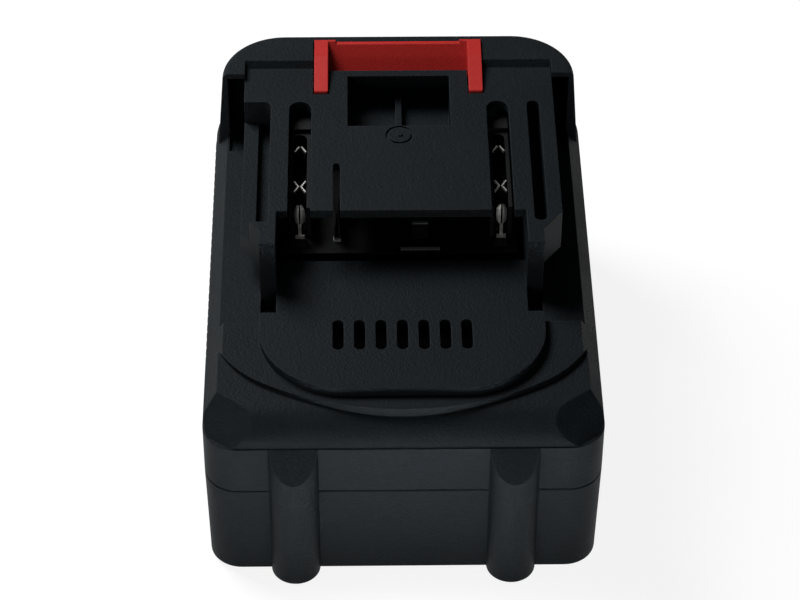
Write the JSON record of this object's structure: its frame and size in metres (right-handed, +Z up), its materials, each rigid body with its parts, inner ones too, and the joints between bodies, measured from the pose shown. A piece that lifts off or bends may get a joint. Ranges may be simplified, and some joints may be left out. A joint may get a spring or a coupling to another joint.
{
  "type": "slide-on battery pack for cordless tools",
  "caption": "Black slide-on battery pack with keyed rails, a vented tongue, blade contacts in slots and a red push-down latch.",
  "frame": {"origin": "centre of the bounding box's base, on the face the pack stands on", "axes": "+Z up from the base to the rails, -Y towards the vented tongue and the terminal mouth, +Y towards the latch"},
  "size_m": [0.08, 0.1144, 0.0587],
  "materials": {
    "case_plastic": "fine spark-eroded texture, black",
    "latch_plastic": "satin red",
    "terminal_plastic": "smooth black",
    "connector_plastic": "smooth black",
    "holder_plastic": "smooth black",
    "contact_metal": "tin plated copper alloy",
    "spring_steel": "bright drawn wire",
    "screw_steel": "black oxide",
    "cell_sleeve": "blue shrink sleeve",
    "nickel": "bright nickel",
    "sheet_fibre": "pressed fibre, grey green",
    "foam": "closed cell foam",
    "board": "green solder mask",
    "chip": "moulded black"
  },
  "bodies": {
    "pack": {"lower_case": "case_plastic", "upper_case": "case_plastic", "case_screws": "screw_steel", "latch_spring_left": "spring_steel", "latch_spring_right": "spring_steel", "spring_plate": "terminal_plastic", "circuit_board": "board", "power_transistors": "chip", "terminal_block": "terminal_plastic", "positive_terminal": "contact_metal", "negative_terminal": "contact_metal", "signal_terminal": "contact_metal", "data_connector": "connector_plastic", "foam_pad": "foam", "cell_holder_left": "holder_plastic", "cell_holder_right": "holder_plastic", "insulation_left": "sheet_fibre", "insulation_right": "sheet_fibre", "positive_lead": "nickel", "negative_lead": "nickel", "nickel_strip_left_1": "nickel", "nickel_strip_left_2": "nickel", "nickel_strip_left_3": "nickel", "nickel_strip_right_1": "nickel", "nickel_strip_right_2": "nickel", "nickel_strip_right_3": "nickel", "cell_01": "cell_sleeve", "cell_02": "cell_sleeve", "cell_03": "cell_sleeve", "cell_04": "cell_sleeve", "cell_05": "cell_sleeve", "cell_06": "cell_sleeve", "cell_07": "cell_sleeve", "cell_08": "cell_sleeve", "cell_09": "cell_sleeve", "cell_10": "cell_sleeve"},
    "latch": {"latch_button": "latch_plastic"}
  },
  "joints": [
    {"name": "latch_press", "type": "slide", "parent": "pack", "child": "latch", "axis": [0, 0, 1], "range_m": [-0.004, 0], "stiffness_N_per_m": 900, "springref_m": 0.002, "deforming": ["latch_spring_left", "latch_spring_right"]}
  ]
}
